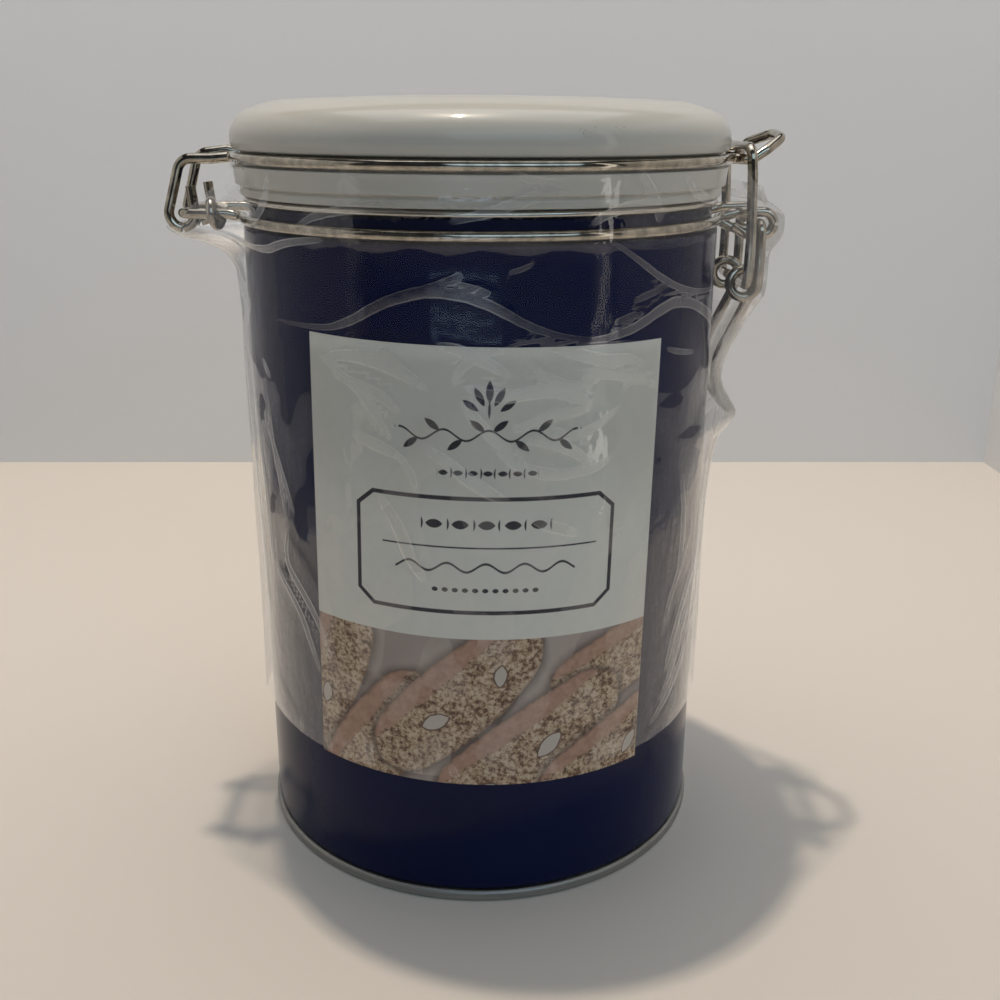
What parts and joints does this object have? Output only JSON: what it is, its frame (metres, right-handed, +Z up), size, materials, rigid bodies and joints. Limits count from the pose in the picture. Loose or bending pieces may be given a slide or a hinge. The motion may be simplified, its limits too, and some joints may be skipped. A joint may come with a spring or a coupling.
{
  "type": "shrink-wrapped round tin canister with wire clamp lid",
  "caption": "Shut round biscuit tin with a domed lid held by a wire clamp, a paper label and a clear shrink band.",
  "frame": {"origin": "on the surface it stands on, under the middle of the overall box, which is within 1.3 mm of the tin's axis", "axes": "+Z up along the tin's axis; -Y towards the label's front; +X towards the latch; -X towards the hinge"},
  "size_m": [0.1396, 0.1142, 0.1739],
  "materials": {
    "navy": "satin lacquer",
    "tinplate": "matt tinplate",
    "enamel": "gloss",
    "steel": "polished",
    "paper": "coated, satin",
    "film": "clear, glossy"
  },
  "bodies": {
    "root": {"tin_body": "navy", "base_end": "tinplate", "neck_curl": "tinplate", "lid": "enamel", "lid_wire": "steel", "neck_wire": "steel", "bail": "steel", "lever": "steel", "tie_wrap": "steel", "label": "paper", "shrink_film": "film"}
  },
  "joints": []
}
